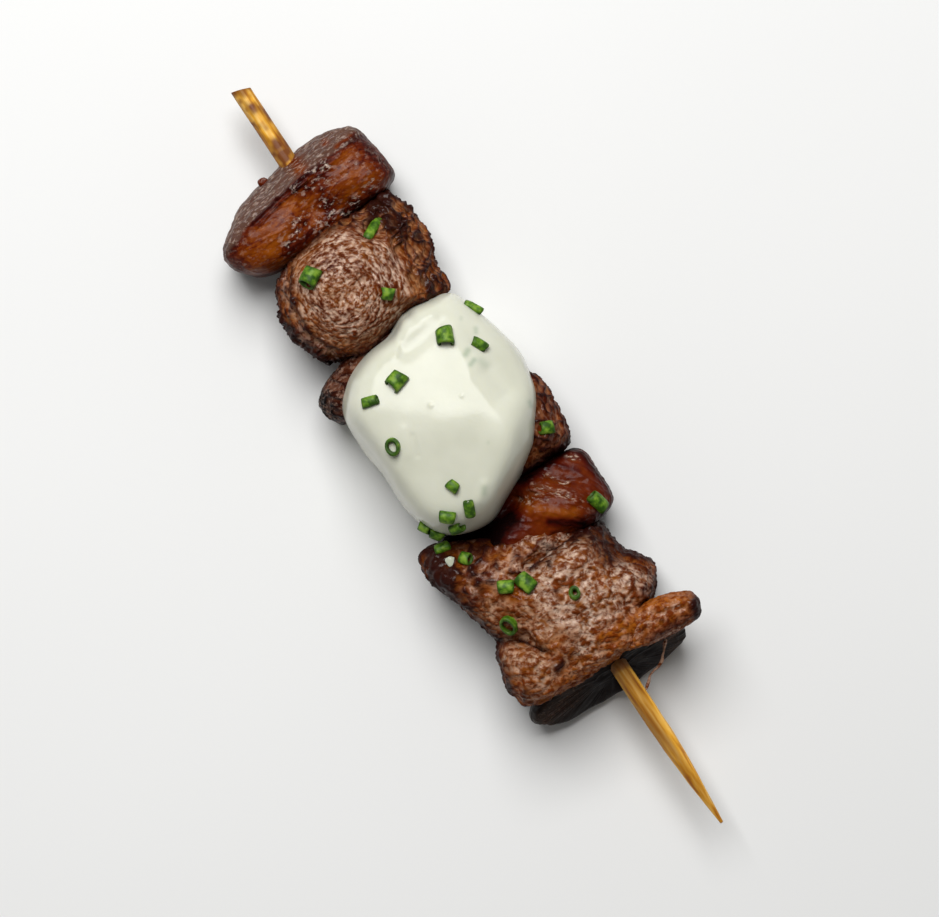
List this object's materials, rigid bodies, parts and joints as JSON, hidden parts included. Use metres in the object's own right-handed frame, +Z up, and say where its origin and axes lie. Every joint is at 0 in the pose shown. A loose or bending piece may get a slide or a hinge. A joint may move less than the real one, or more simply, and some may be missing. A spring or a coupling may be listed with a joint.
{
  "type": "fillet and date skewer",
  "caption": "Seared beef fillet and soft dates threaded along a bamboo stick, with a spoonful of pale herb sauce slumped over the middle and snips of chive.",
  "frame": {"origin": "middle of the box's underside, on the surface that the skewer lies on", "axes": "+X along the stick towards its pointed end, +Z up, +Y to the left when looking along +X"},
  "size_m": [0.1352, 0.0324, 0.0257],
  "materials": {
    "bamboo": "scorched bamboo with brown streaks",
    "beef": "moist seared crust",
    "date": "sticky glazed skin",
    "sauce": "thick satin cream"
  },
  "bodies": {
    "root": {"stick": "bamboo", "date_1": "date", "fillet_1": "beef", "date_2": "date", "fillet_2": "beef", "date_3": "date", "fillet_3": "beef", "date_4": "date", "dollop": "sauce"}
  },
  "joints": []
}
